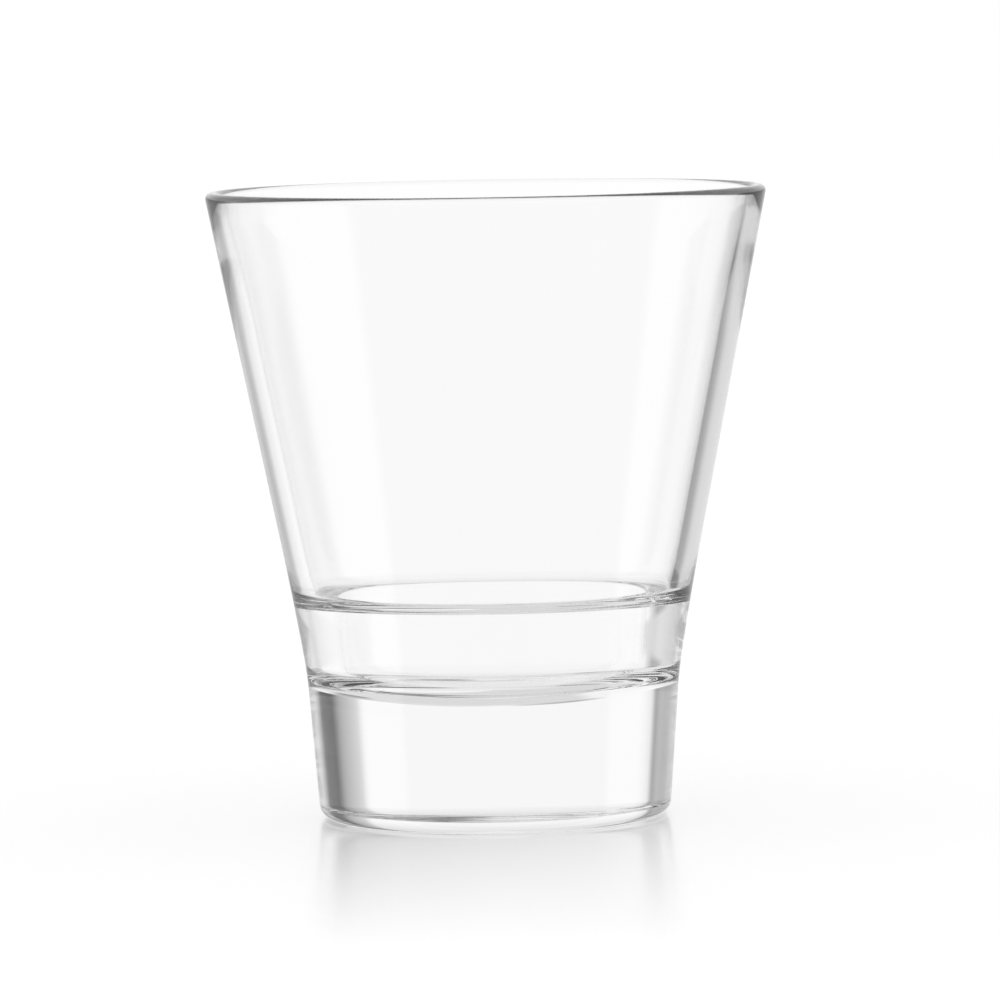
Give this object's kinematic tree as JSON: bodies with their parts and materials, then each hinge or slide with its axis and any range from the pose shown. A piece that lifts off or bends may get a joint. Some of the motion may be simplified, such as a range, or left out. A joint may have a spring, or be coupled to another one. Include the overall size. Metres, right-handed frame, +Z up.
{
  "type": "cortado glass",
  "caption": "Clear stackable coffee glass with a flared bowl, an inner ledge that seats the foot of the next glass, a small well and a heavy solid foot.",
  "frame": {"origin": "centre of the foot, on the surface that the glass stands on", "axes": "+Z up along the axis of revolution, from the foot to the rim; +X and +Y are any two level directions"},
  "size_m": [0.08, 0.08, 0.09],
  "materials": {
    "clear_glass": "clear pressed soda-lime glass, fire-polished"
  },
  "bodies": {
    "root": {"tumbler": "clear_glass"}
  },
  "joints": []
}
